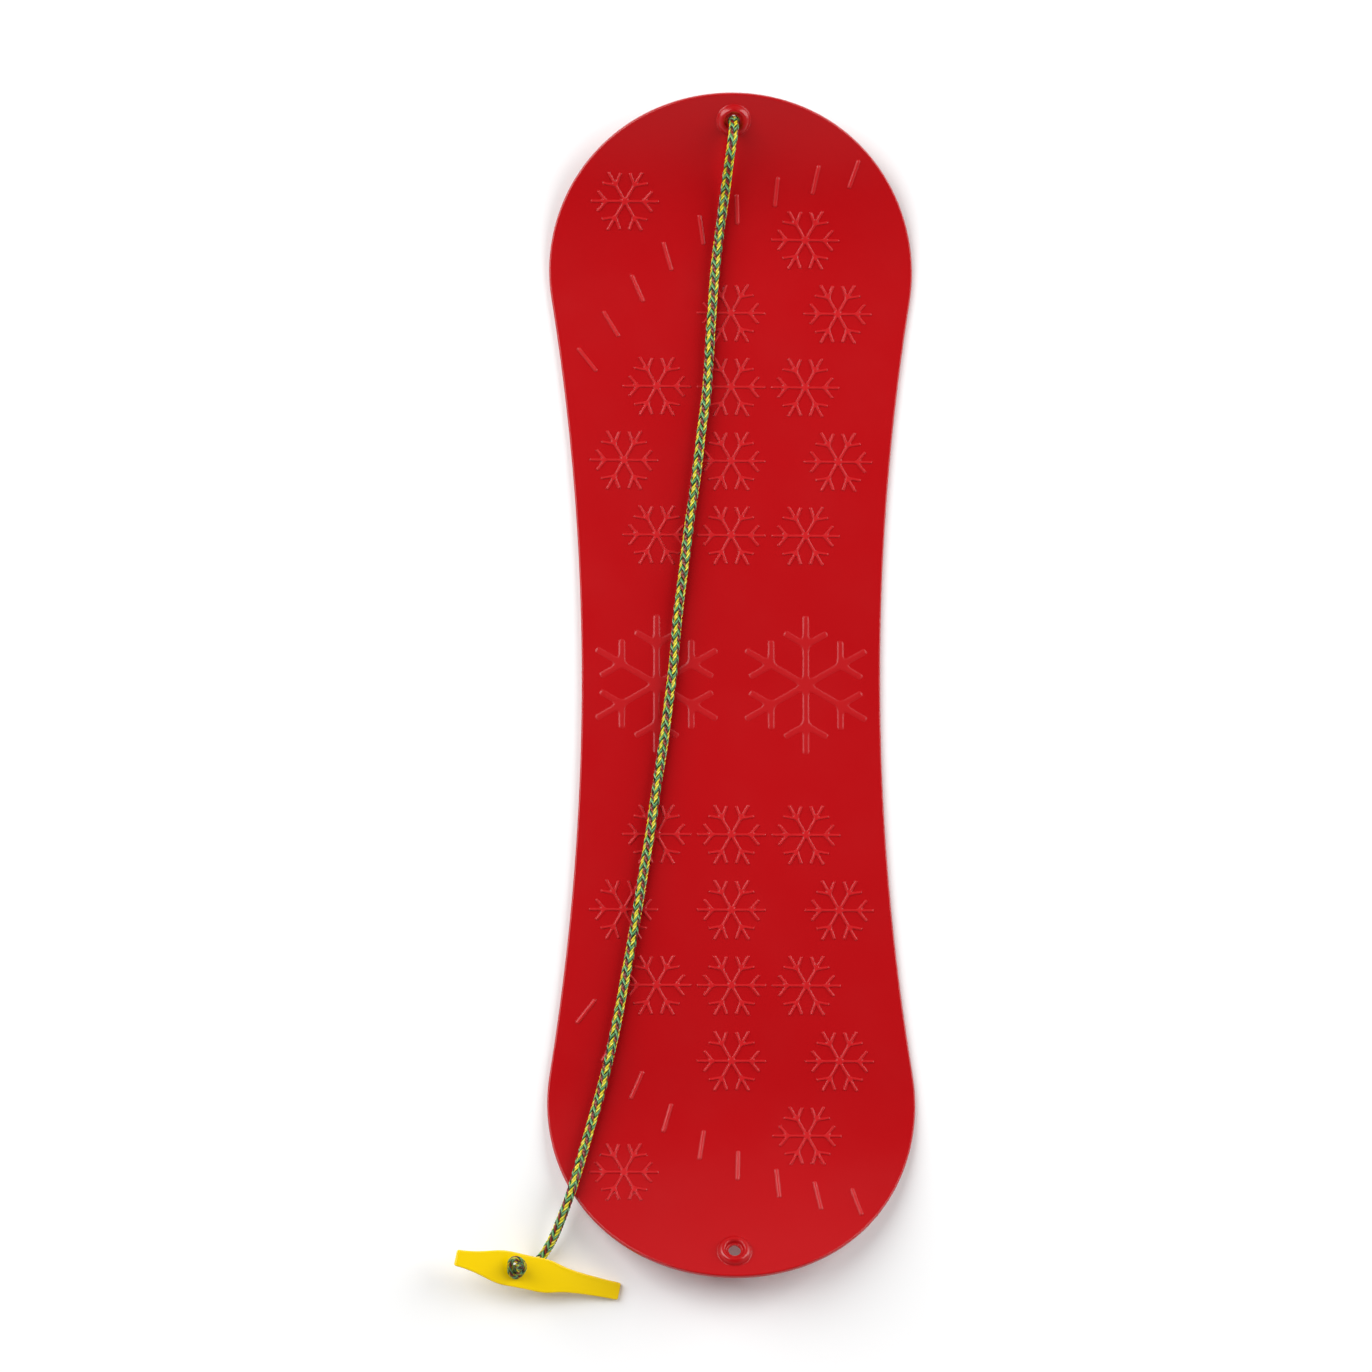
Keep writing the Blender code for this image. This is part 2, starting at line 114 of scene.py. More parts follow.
# Across each strand: shares of its half width and of the yarns' height, and of the yarn's colour, whose low
# shares at the edges and in the groove between the two yarns are painted shade
STRAND_PROFILE_SHARES = (
    (-1.0, -0.6, 0.01), (-0.86, 0.4, 0.1), (-0.5, 1.0, 1.0), (0, 0.35, 0.36),
    (0.5, 1.0, 1.0), (0.86, 0.4, 0.1), (1.0, -0.6, 0.01), (0, -0.7, 0.01),
)
ROPE_ROUTE = (
    (0, 0.4295, 0.033), (0, 0.4275, 0.0372), (-0.0002, 0.4238, 0.042), (-0.0009, 0.4183, 0.0459),
    (-0.0019, 0.4111, 0.0475), (-0.003, 0.4031, 0.0456), (-0.0039, 0.3953, 0.0398),
    (-0.0045, 0.3898, 0.0348), (-0.0052, 0.3818, 0.0284), (-0.0063, 0.3719, 0.0221),
    (-0.0078, 0.3591, 0.0166), (-0.0096, 0.3439, 0.013), (-0.0118, 0.3242, 0.0106), (-0.0139, 0.3, 0.0097),
    (-0.016, 0.271, 0.0096), (-0.0188, 0.2247, 0.0096), (-0.0234, 0.1898, 0.0096),
    (-0.0272, 0.1579, 0.0096), (-0.0317, 0.126, 0.0096), (-0.0363, 0.0896, 0.0096),
    (-0.0412, 0.0509, 0.0096), (-0.0444, 0.0129, 0.0096), (-0.0481, -0.0167, 0.0096),
    (-0.0524, -0.0486, 0.0096), (-0.0569, -0.078, 0.0096), (-0.0616, -0.1123, 0.0096),
    (-0.0666, -0.1412, 0.0096), (-0.0717, -0.173, 0.0096), (-0.0767, -0.2027, 0.0096),
    (-0.0818, -0.23, 0.0096), (-0.0877, -0.2603, 0.0096), (-0.0928, -0.284, 0.0097),
    (-0.099, -0.309, 0.0102), (-0.1075, -0.338, 0.0126), (-0.1147, -0.362, 0.017),
    (-0.1215, -0.384, 0.0226), (-0.1283, -0.403, 0.021), (-0.1342, -0.418, 0.0138),
    (-0.1402, -0.4292, 0.008), (-0.1442, -0.4345, 0.0056), (-0.1498, -0.4388, 0.0049),
    (-0.156, -0.4415, 0.0069), (-0.1613, -0.4426, 0.0115), (-0.1643, -0.4428, 0.0178),
    (-0.1646, -0.4429, 0.0224), (-0.164, -0.443, 0.025),
)


def curve_through(points, pieces):
    """A Catmull-Rom curve through the points, with that many pieces between two of them."""
    known = [Vector(point) for point in points]
    known = [known[0] * 2 - known[1]] + known + [known[-1] * 2 - known[-2]]
    curve = []
    for a, b, c, d in zip(known, known[1:], known[2:], known[3:]):
        for piece in range(pieces):
            t = piece / pieces
            bend = (c - a) * t + (a * 2 - b * 5 + c * 4 - d) * t**2 + (b * 3 - a - c * 3 + d) * t**3
            curve.append(b + bend / 2)
    return np.array(curve + [known[-2]])


def evenly(line, step):
    """The same line with points about step apart, ends included."""
    along = np.concatenate([[0], np.cumsum(np.linalg.norm(np.diff(line, axis=0), axis=1))])
    places = np.linspace(0, along[-1], ceil(along[-1] / step) + 1)
    return np.stack([np.interp(places, along, line[:, axis]) for axis in range(3)], axis=1)


def eased(line, passes):
    """Evens the bends of a line, whose ends stay where they are."""
    for _ in range(passes):
        line[1:-1] = (line[:-2] + 2 * line[1:-1] + line[2:]) / 4
    return line


def untwisted_frames(line, first_up):
    """The heading, an up and a side at each point of a line, carried along it without twisting."""
    headings = np.gradient(line, axis=0)
    headings /= np.linalg.norm(headings, axis=1)[:, None]
    ups = []
    up = np.array(first_up, float)
    for heading in headings:
        up = up - heading * up.dot(heading)
        up = up / np.linalg.norm(up)
        ups.append(up)
    ups = np.array(ups)
    return headings, ups, np.cross(headings, ups)


def rolled_strip(rings, sides, place, colour_of):
    """A flat grid rolled up along a line: place says where ring and side come to lie, and its UV metres."""
    bm = bmesh.new()
    bmesh.ops.create_grid(bm, x_segments=rings - 1, y_segments=sides, size=1)
    uv = bm.loops.layers.uv.new("along")
    colour = bm.verts.layers.float_color.new("yarn_colour")
    where = {}
    for corner in bm.verts:
        ring = round((corner.co.x + 1) / 2 * (rings - 1))
        side = round((corner.co.y + 1) / 2 * sides)
        where[corner.index] = (ring, side)
    for face in bm.faces:
        for loop in face.loops:
            loop[uv].uv = place(*where[loop.vert.index])[1]
    for corner in bm.verts:
        ring, side = where[corner.index]
        corner.co = place(ring, side)[0]
        corner[colour] = (*colour_of(ring, side), 1)
    bmesh.ops.remove_doubles(bm, verts=bm.verts, dist=SEAM_WELD)
    bmesh.ops.holes_fill(bm, edges=[edge for edge in bm.edges if edge.is_boundary], sides=0)
    bmesh.ops.recalc_face_normals(bm, faces=bm.faces)
    mesh = bpy.data.meshes.new("strip")
    bm.to_mesh(mesh)
    bm.free()
    return mesh


def braid(name, line, first_up, lay, thickness_shares, colour_share, finish):
    """A braided rope along an even line. Its thickness is a share of the full rope's at each point."""
    headings, ups, sides = untwisted_frames(line, first_up)
    step = np.linalg.norm(line[1] - line[0])
    rings = len(line)

    def on_rope(ring, angle, ahead, radius):
        turn = PATTERN_TURN_START - 2 * pi * ring * step / PATTERN_TURN_LENGTH
        outward = ups[ring] * cos(angle + turn) + sides[ring] * sin(angle + turn)
        return line[ring] + headings[ring] * ahead + outward * radius * thickness_shares[ring]

    def strand(number, way):
        slant = atan2(2 * pi * STRAND_MEAN_RADIUS, lay)
        profile = STRAND_PROFILE_SHARES
        left_yarn, right_yarn, half_width = STRAND_ORDER[way][number % 2]

        def angle_and_over(ring, across):
            angle = 2 * pi * number / STRANDS_EACH_WAY + way * 2 * pi * ring * step / lay
            angle += across * cos(slant) / STRAND_MEAN_RADIUS
            over = FLOAT_STEEPNESS * way * cos(FLOATS_A_TURN * (angle - FLOAT_MIDDLE))
            return angle, max(-1, min(1, over))

        def place(ring, side):
            across, height, _ = profile[side % len(profile)]
            along = ring * step
            wander = sum(sin(2 * pi * along / length + 2 * number + way) for length in STRAND_WANDER_LENGTHS)
            across = across * half_width + wander * STRAND_WANDER
            inside = min(ring, rings - 1 - ring) * step
            ahead = -way * across * sin(slant) * min(1, inside / half_width)
            angle, over = angle_and_over(ring, across)
            radius = STRAND_MEAN_RADIUS + STRAND_SWING * over + YARN_HEIGHT * height
            around = side * 2 * half_width / len(profile)
            return on_rope(ring, angle, ahead, radius), (along, around + number * lay)

        def shaded(ring, side):
            across, _, share = profile[side % len(profile)]
            _, over = angle_and_over(ring, across * half_width)
            # Painted shade: a yarn is darker at its strand's edges and in the groove between its yarns, and
            # darkest where it dives under the crossing strands
            share *= colour_share * (UNDER_SHADE_SHARE + (1 - UNDER_SHADE_SHARE) * min(1, UNDER_SHADE_FADE * (over + 1)))
            return tuple(value * share for value in (left_yarn if across < 0 else right_yarn))

        return rolled_strip(rings, len(profile), place, shaded)

    def core():
        def place(ring, side):
            angle = 2 * pi * side / CORE_SIDES
            return on_rope(ring, angle, 0, CORE_RADIUS), (ring * step, angle * CORE_RADIUS)

        return rolled_strip(rings, CORE_SIDES, place, lambda ring, side: CORE_COLOUR)

    bm = bmesh.new()
    for part in [core()] + [strand(number, way) for number in range(STRANDS_EACH_WAY) for way in (1, -1)]:
        bm.from_mesh(part)
        bpy.data.meshes.remove(part)
    return finished(name, bm, finish)


def finished(name, bm, finish, smooth_angle=radians(50)):
    """Makes an object of a piece that is shaped in its place, with its material."""
    mesh = bpy.data.meshes.new(name)
    bm.to_mesh(mesh)
    bm.free()
    mesh.materials.append(finish)
    mesh.shade_smooth()
    mesh.set_sharp_from_angle(angle=smooth_angle)
    piece = bpy.data.objects.new(name, mesh)
    bpy.context.scene.collection.objects.link(piece)
    return piece


def shader_nodes(name):
    """A new material's node tree, with its Principled shader."""
    made = bpy.data.materials.new(name)
    made.use_nodes = True
    return made, made.node_tree, made.node_tree.nodes["Principled BSDF"]


def braided_yarn():
    """Glossy extruded filaments, laid along each yarn, lighter and darker by turns."""
    made, tree, shader = shader_nodes("braided_yarn")
    colour = tree.nodes.new("ShaderNodeAttribute")
    colour.attribute_name = "yarn_colour"
    place = tree.nodes.new("ShaderNodeUVMap")
    place.uv_map = "along"
    stretch = tree.nodes.new("ShaderNodeMapping")
    stretch.inputs["Scale"].default_value = (160, 3200, 1)
    fibres = tree.nodes.new("ShaderNodeTexNoise")
    fibres.inputs["Scale"].default_value = 1
    fibres.inputs["Detail"].default_value = 3
    shade = tree.nodes.new("ShaderNodeMapRange")
    shade.inputs["From Min"].default_value = 0.3
    shade.inputs["From Max"].default_value = 0.7
    shade.inputs["To Min"].default_value = 0.85
    shade.inputs["To Max"].default_value = 1.2
    tint = tree.nodes.new("ShaderNodeVectorMath")
    tint.operation = "SCALE"
    rough = tree.nodes.new("ShaderNodeMapRange")
    rough.inputs["To Min"].default_value = 0.2
    rough.inputs["To Max"].default_value = 0.45
    bump = tree.nodes.new("ShaderNodeBump")
    bump.inputs["Strength"].default_value = 0.8
    bump.inputs["Distance"].default_value = 0.00018
    tree.links.new(place.outputs["UV"], stretch.inputs["Vector"])
    tree.links.new(stretch.outputs["Vector"], fibres.inputs["Vector"])
    tree.links.new(fibres.outputs["Fac"], shade.inputs["Value"])
    tree.links.new(colour.outputs["Color"], tint.inputs[0])
    tree.links.new(shade.outputs["Result"], tint.inputs["Scale"])
    tree.links.new(tint.outputs["Vector"], shader.inputs["Base Color"])
    tree.links.new(fibres.outputs["Fac"], rough.inputs["Value"])
    tree.links.new(rough.outputs["Result"], shader.inputs["Roughness"])
    tree.links.new(fibres.outputs["Fac"], bump.inputs["Height"])
    tree.links.new(bump.outputs["Normal"], shader.inputs["Normal"])
    shader.inputs["IOR"].default_value = 1.49
    return made


yarn = braided_yarn()
ring_step = ROPE_LAY / STRANDS_EACH_WAY / RINGS_PER_STRAND
rope_line = eased(evenly(curve_through(ROPE_ROUTE, ROUTE_PIECES), ring_step), ROUTE_EASING)
rope = braid("tow_rope_braid", rope_line, (0, 1, 0), ROPE_LAY, [1] * len(rope_line), 1, yarn)
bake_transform(rope)
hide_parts("rope_lead", "tow_rope")


# Stopper knots. The rope's two ends are each tied in one overhand knot and pulled down hard, so that the
# braid is squeezed thinner; the cut ends are melted shut. One sits in the pocket under the nose, the other
# on the handle.
KNOT_STRAND_SHARE = 0.62  # of the rope's diameter
KNOT_PITCH = 0.00495  # of two strands that touch
KNOT_LAY = 0.024
KNOT_EASING = 2
KNOT_COLOUR_SHARE = 0.7  # of the yarns' colours that the knots keep, which makes them darker all over
KNOT_SEAT_GAP = 0.0003
NOSE_NECK_SHARE = 0.9  # of the rope's diameter, where the knot starts
HANDLE_NECK_SHARE = 1.0
KNOT_NECK = 0.006  # the length in which the rope narrows
KNOT_MELTED_END = 0.0016
KNOT_END_SHARE = 0.55  # of the strand's thickness, left at its very end
# The middle line of the knotted strand from its neck to its cut end, in pitches
KNOT_POINT_SHARES = (
    (0, 0, 0), (0, 0, 0.4), (-0.05, -0.03, 0.85), (-0.2, -0.15, 1.25), (-0.28, -0.4, 1.62),
    (-0.1, -0.63, 1.93), (0.3, -0.7, 2.2), (0.8, -0.57, 2.39), (1.25, -0.15, 2.44), (1.54, 0.4, 2.35),
    (1.55, 0.9, 2.13), (1.25, 1.25, 1.8), (0.8, 1.33, 1.5), (0.3, 1.2, 1.28), (-0.3, 0.97, 1.02),
    (-0.75, 0.7, 0.8), (-0.97, 0.2, 0.6), (-0.93, -0.32, 0.53), (-0.6, -0.78, 0.6), (-0.1, -1.0, 0.8),
    (0.4, -0.9, 1.05), (0.73, -0.5, 1.3), (0.76, -0.05, 1.55), (0.55, 0.25, 1.95), (0.38, 0.33, 2.35),
    (0.4, 0.25, 2.8), (0.45, 0.12, 3.2), (0.5, 0, 3.6),
)
HANDLE_TURN = radians(-11.1)
HANDLE_TILT = radians(15)


def stopper_knot(name, end, ahead, neck_share):
    turn = ahead.to_track_quat("Z", "Y").to_matrix().to_4x4()
    place = Matrix.Translation(end + ahead * KNOT_SEAT_GAP) @ turn
    points = [place @ (Vector(point) * KNOT_PITCH) for point in KNOT_POINT_SHARES]
    step = KNOT_LAY / STRANDS_EACH_WAY / RINGS_PER_STRAND
    line = eased(evenly(curve_through(points, ROUTE_PIECES), step), KNOT_EASING)
    step = np.linalg.norm(line[1] - line[0])
    shares = []
    for ring in range(len(line)):
        narrowed = min(1, ring * step / KNOT_NECK)
        narrowed = narrowed * narrowed * (3 - 2 * narrowed)
        share = neck_share + (KNOT_STRAND_SHARE - neck_share) * narrowed
        left = min(1, (len(line) - 1 - ring) * step / KNOT_MELTED_END)
        rounded = (1 - (1 - left) ** 2) ** 0.5
        shares.append(share * (KNOT_END_SHARE + (1 - KNOT_END_SHARE) * rounded))
    across = place.to_3x3() @ Vector((0, 1, 0))
    return braid(name, line, across, KNOT_LAY, shares, KNOT_COLOUR_SHARE, yarn)


rope_start, rope_end = Vector(ROPE_ROUTE[0]), Vector(ROPE_ROUTE[-1])
handle_turn = Matrix.Rotation(HANDLE_TURN, 3, "Z") @ Matrix.Rotation(HANDLE_TILT, 3, "Y")
under_nose = (rope_start - Vector(ROPE_ROUTE[1])).normalized()
nose_knot = stopper_knot("nose_knot_braid", rope_start, under_nose, NOSE_NECK_SHARE)
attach(nose_knot, "board")
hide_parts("nose_knot")
over_handle = handle_turn.col[2].copy()
handle_knot = stopper_knot("handle_knot_braid", rope_end, over_handle, HANDLE_NECK_SHARE)
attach(handle_knot, "tow_line")
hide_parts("handle_knot")


# Board. One injection moulding in glossy red polyethylene, 4 mm thick with rounded edges. It is shaped here
# as the flat sheet, with the flakes, ribs and rope bosses raised on its deck, and then both of its ends are
# rolled up.
SHEET_LENGTH = 0.914
END_WIDTH = 0.278
SIDECUT_DEPTH = 0.0255
WALL = 0.0042
EDGE_RADIUS = 0.0012
EDGE_STEPS = 4
KICK_LENGTH = 0.157
KICK_RADIUS = 0.3
END_STEPS = 96
SIDE_STEPS = 48
KICK_STATION = 0.005  # between two cuts across a rolled-up end
HALF_SHEET = SHEET_LENGTH / 2
HALF_WAIST = END_WIDTH / 2 - SIDECUT_DEPTH
END_REACH = HALF_SHEET - END_WIDTH / 2
KICK_START = HALF_SHEET - KICK_LENGTH
RELIEF_HEIGHT = 0.001
FLAKE_LINE = 0.0025
FLAKE_RADIUS = 0.02627
BIG_FLAKE_LINE = 0.0056
BIG_FLAKE_MARGIN = 0.0105  # from the waist's edge
ARMS = 6
# The branches of an arm: where they start and how long they are, in the flake's radius, and their angle
FLAKE_BRANCHES = (0.54, 0.4, radians(50))
BIG_FLAKE_BRANCHES = (0.57, 0.36, radians(60))
CORNER_SHARE = 0.36  # of its shorter side, which the rounding of a corner may take
CORNER_STEPS = 2
FLAKE_COLUMN = HALF_WAIST / 2
FLAKE_ROW = HALF_SHEET / 8
# Columns and rows of the small flakes: shares of the column and row steps
FLAKE_PLACE_SHARES = (
    (-1, 2), (0, 2), (1, 2), (-1.44, 3), (0, 3), (1.44, 3), (-1, 4), (0, 4), (1, 4), (0, 5), (1.44, 5),
    (1, 6), (-1.44, 6.5),
)
# From a ridge's foot to its crest: how far in, as a share of half its width, and how high
RIDGE_PROFILE_SHARES = ((0.1, 0.1), (0.22, 0.36), (0.36, 0.64), (0.52, 0.86), (0.7, 1.0))
# The same for the flat tops of the big flakes, as a share of a small flake's line
FLAT_TOP_PROFILE_SHARES = ((0.12, 0.04), (0.28, 0.12), (0.42, 0.2), (0.56, 0.27), (0.7, 0.3))
RIB_LENGTH = 0.024
RIB_LINE = 0.0034
RIB_LEAN = radians(24)
RIB_END_STEPS = 8
# The ribs' places and the point that they fan out from, in the end's radius from its middle
RIB_PLACE_SHARES = (
    (-0.79, -0.5), (-0.66, -0.3), (-0.515, -0.1), (-0.35, 0.08), (-0.165, 0.23),
    (0.03, 0.345), (0.245, 0.445), (0.46, 0.515), (0.67, 0.55),
)
RIB_FAN_SHARES = (0.87, -1.37)
BOSS_FROM_TIP = 0.0215
BOSS_RADIUS = 0.0133
BOSS_HEIGHT = 0.004
# From the boss's foot over its rim into its dish: shares of its radius and of its height
BOSS_PROFILE_SHARES = (
    (1.0, 0), (0.95, 0.14), (0.9, 0.5), (0.76, 0.92), (0.66, 1.0), (0.56, 0.9), (0.46, 0.35), (0.4, 0.3),
)
BOSS_PROFILE_PIECES = 3
POCKET_RADIUS = 0.0126
POCKET_DEPTH = 0.003
POCKET_DRAFT = 0.0008
ROPE_HOLE_RADIUS = 0.0047
ROUND_STEPS = 48
BOARD_SMOOTH_ANGLE = radians(62)


def arc(centre, radius, start, end, steps):
    """Points along an arc, without its last, so that arcs join end to end."""
    angles = [start + (end - start) * step / steps for step in range(steps)]
    return [(centre[0] + radius * cos(angle), centre[1] + radius * sin(angle)) for angle in angles]


def sheet_outline():
    """Four arcs, anticlockwise: right sidecut, nose, left sidecut, tail."""
    end_radius = END_WIDTH / 2
    side_radius = (END_REACH**2 + HALF_WAIST**2 - end_radius**2) / (2 * SIDECUT_DEPTH)
    side_x = HALF_WAIST + side_radius
    lean = atan2(END_REACH, side_x)
    outline = arc((side_x, 0), side_radius, pi + lean, pi - lean, SIDE_STEPS)
    outline += arc((0, END_REACH), end_radius, -lean, pi + lean, END_STEPS)
    outline += arc((-side_x, 0), side_radius, lean, -lean, SIDE_STEPS)
    outline += arc((0, -END_REACH), end_radius, pi - lean, 2 * pi + lean, END_STEPS)
    return outline


def rolled_up(point):
    """Where a point of the flat sheet comes to lie when its ends are rolled up."""
    x, y, z = point
    beyond = abs(y) - KICK_START
    if beyond <= 0:
        return Vector(point)
    angle = beyond / KICK_RADIUS
    reach = KICK_RADIUS - z
    return Vector((x, copysign(KICK_START + reach * sin(angle), y), KICK_RADIUS - reach * cos(angle)))


def turned(x, y, angle):
    return x * cos(angle) - y * sin(angle), x * sin(angle) + y * cos(angle)


def soft_corners(outline, radius):
    """Rounds each corner of an outline, as far as its two sides allow."""
    points = []
    for before, corner, after in zip([outline[-1]] + outline[:-1], outline, outline[1:] + outline[:1]):
        corner = Vector(corner)
        back, on = Vector(before) - corner, Vector(after) - corner
        cut = min(radius, CORNER_SHARE * back.length, CORNER_SHARE * on.length)
        first, last = corner + back.normalized() * cut, corner + on.normalized() * cut
        for step in range(CORNER_STEPS + 1):
            t = step / CORNER_STEPS
            point = first * (1 - t) ** 2 + corner * (2 * t * (1 - t)) + last * t**2
            points.append((point.x, point.y))
    return points


def flake_outline(centre, radius, line, branches, first_arm):
    """A six-armed flake with one pair of branches on each arm."""
    start_share, length_share, lean = branches
    start, length = start_share * radius, length_share * radius
    half = line / 2
    near = half * (1 - cos(lean)) / sin(lean)
    far = half * (1 + cos(lean)) / sin(lean)

    def on_branch(along, across):
        along_arm = start + along * cos(lean) + across * sin(lean)
        return along_arm, along * sin(lean) - across * cos(lean)

    upper = [
        on_branch(near, -half),
        on_branch(length, -half),
        on_branch(length, half),
        on_branch(far, half),
        (radius, half),
    ]
    lower = [(x, -y) for x, y in upper]
    arm = [turned(line, 0, -pi / ARMS)] + lower + upper[::-1]
    points = []
    for number in range(ARMS):
        for x, y in arm:
            x, y = turned(x, y, first_arm + 2 * pi * number / ARMS)
            points.append((centre[0] + x, centre[1] + y))
    return soft_corners(points, half)


def small_flakes():
    places = [(x * FLAKE_COLUMN, end * y * FLAKE_ROW) for x, y in FLAKE_PLACE_SHARES for end in (1, -1)]
    return [flake_outline(place, FLAKE_RADIUS, FLAKE_LINE, FLAKE_BRANCHES, 0) for place in places]


def big_flakes():
    radius = (HALF_WAIST - FLAKE_COLUMN - BIG_FLAKE_MARGIN) / cos(pi / ARMS)
    places = [(side * FLAKE_COLUMN, 0) for side in (1, -1)]
    return [flake_outline(place, radius, BIG_FLAKE_LINE, BIG_FLAKE_BRANCHES, pi / 2) for place in places]


def ribs():
    """One arc of leaning ribs at the nose, and its mirror image at the tail."""
    half = RIB_LINE / 2
    reach = RIB_LENGTH / 2 - half
    bar = arc((reach, 0), half, -pi / 2, pi / 2, RIB_END_STEPS) + [(reach, half)]
    bar += arc((-reach, 0), half, pi / 2, 3 * pi / 2, RIB_END_STEPS) + [(-reach, -half)]
    outlines = []
    for x_share, y_share in RIB_PLACE_SHARES:
        angle = atan2(y_share - RIB_FAN_SHARES[1], x_share - RIB_FAN_SHARES[0]) - RIB_LEAN
        x, y = x_share * END_WIDTH / 2, END_REACH + y_share * END_WIDTH / 2
        nose = [(x + along, y + across) for along, across in (turned(*point, angle) for point in bar)]
        outlines += [nose, [(x, -y) for x, y in nose][::-1]]
    return outlines


def loop_of(bm, points, height):
    corners = [bm.verts.new((x, y, height)) for x, y in points]
    return corners, [bm.edges.new(pair) for pair in zip(corners, corners[1:] + corners[:1])]


def circle_of(bm, centre, radius, height):
    return loop_of(bm, arc(centre, radius, 0, 2 * pi, ROUND_STEPS), height)


def face_on(bm, corners, normal):
    face = bm.faces.new(corners)
    face.normal_update()
    if face.normal.dot(Vector(normal)) < 0:
        face.normal_flip()
    return face


def step_face(bm, face, step_in, step_up=0):
    """Draws a face in from its edge, and lifts it."""
    bmesh.ops.inset_region(bm, faces=[face], thickness=step_in, depth=step_up, use_even_offset=True)


def round_over(bm, face, radius, steps):
    """Carries a face on by a radius, round its edge."""
    angles = [pi / 2 * step / steps for step in range(steps + 1)]
    for angle, after in zip(angles, angles[1:]):
        step_in = radius * (cos(angle) - cos(after))
        step_up = radius * (sin(after) - sin(angle))
        step_face(bm, face, step_in, step_up)


def fill_round(bm, edges, normal):
    bmesh.ops.triangle_fill(bm, edges=edges, use_beauty=True, use_dissolve=False, normal=normal)


def raise_ridge(bm, corners, side_width, profile):
    """Raises a face from the deck in steps, from the foot of its side to its crest."""
    face = face_on(bm, corners, (0, 0, 1))
    inward, height = 0, 0
    for in_share, height_share in profile:
        step_in = in_share * side_width - inward
        step_up = height_share * RELIEF_HEIGHT - height
        step_face(bm, face, step_in, step_up)
        inward, height = in_share * side_width, height_share * RELIEF_HEIGHT


def raise_boss(bm, corners):
    """Turns a circle on the deck into the raised, dished ring, and gives the face at the hole's mouth."""
    face = face_on(bm, corners, (0, 0, 1))
    profile = [(*share, 0) for share in BOSS_PROFILE_SHARES]
    shares = curve_through(profile, BOSS_PROFILE_PIECES)[:, :2]
    for (radius, height), (next_radius, next_height) in zip(shares, shares[1:]):
        step_face(bm, face, (radius - next_radius) * BOSS_RADIUS, (next_height - height) * BOSS_HEIGHT)
    step_face(bm, face, shares[-1][0] * BOSS_RADIUS - ROPE_HOLE_RADIUS)
    return face


def sink_pocket(bm, corners):
    face = face_on(bm, corners, (0, 0, -1))
    step_face(bm, face, POCKET_DRAFT, -POCKET_DEPTH)
    step_face(bm, face, POCKET_RADIUS - POCKET_DRAFT - ROPE_HOLE_RADIUS)
    return face


def moulded_board(finish):
    bm = bmesh.new()
    corners, _ = loop_of(bm, sheet_outline(), EDGE_RADIUS)
    base = face_on(bm, corners, (0, 0, -1))
    corners, _ = loop_of(bm, sheet_outline(), WALL - EDGE_RADIUS)
    deck = face_on(bm, corners, (0, 0, 1))
    bmesh.ops.bridge_loops(bm, edges=list(base.edges) + list(deck.edges))
    for face in (base, deck):
        round_over(bm, face, EDGE_RADIUS, EDGE_STEPS)
    base_edges, deck_edges = list(base.edges), list(deck.edges)
    bmesh.ops.delete(bm, geom=[base, deck], context="FACES_ONLY")

    ridges = []
    for outlines, side_width, profile in (
        (small_flakes(), FLAKE_LINE / 2, RIDGE_PROFILE_SHARES),
        (ribs(), RIB_LINE / 2, RIDGE_PROFILE_SHARES),
        (big_flakes(), FLAKE_LINE, FLAT_TOP_PROFILE_SHARES),
    ):
        ridges += [(loop_of(bm, outline, WALL), side_width, profile) for outline in outlines]
    boss_y = HALF_SHEET - BOSS_FROM_TIP
    bosses = [circle_of(bm, (0, end * boss_y), BOSS_RADIUS, WALL) for end in (1, -1)]
    pockets = [circle_of(bm, (0, end * boss_y), POCKET_RADIUS, 0) for end in (1, -1)]
    for (_, edges), _, _ in ridges:
        deck_edges += edges
    for (_, deck_round), (_, base_round) in zip(bosses, pockets):
        deck_edges += deck_round
        base_edges += base_round
    fill_round(bm, deck_edges, (0, 0, 1))
    fill_round(bm, base_edges, (0, 0, -1))
    for (corners, _), side_width, profile in ridges:
        raise_ridge(bm, corners, side_width, profile)
    for (boss, _), (pocket, _) in zip(bosses, pockets):
        mouths = [raise_boss(bm, boss), sink_pocket(bm, pocket)]
        edges = [edge for mouth in mouths for edge in mouth.edges]
        bmesh.ops.delete(bm, geom=mouths, context="FACES_ONLY")
        bmesh.ops.bridge_loops(bm, edges=edges)

    stations = ceil(KICK_LENGTH / KICK_STATION)
    for end in (1, -1):
        for station in range(stations):
            y = end * (KICK_START + KICK_LENGTH * station / stations)
            everything = list(bm.verts) + list(bm.edges) + list(bm.faces)
            bmesh.ops.bisect_plane(bm, geom=everything, plane_co=(0, y, 0), plane_no=(0, 1, 0))
    bmesh.ops.triangulate(bm, faces=list(bm.faces))
    bmesh.ops.recalc_face_normals(bm, faces=list(bm.faces))
    # The height of the flakes and ribs, which the material turns into a painted highlight and a duller gloss
    relief = bm.verts.layers.float.new("relief")
    for corner in bm.verts:
        if abs(corner.co.x) > BOSS_RADIUS or abs(corner.co.y) < boss_y - BOSS_RADIUS:
            corner[relief] = max(0, (corner.co.z - WALL) / RELIEF_HEIGHT)
        corner.co = rolled_up(corner.co)
    return finished("moulded_board", bm, finish, BOARD_SMOOTH_ANGLE)


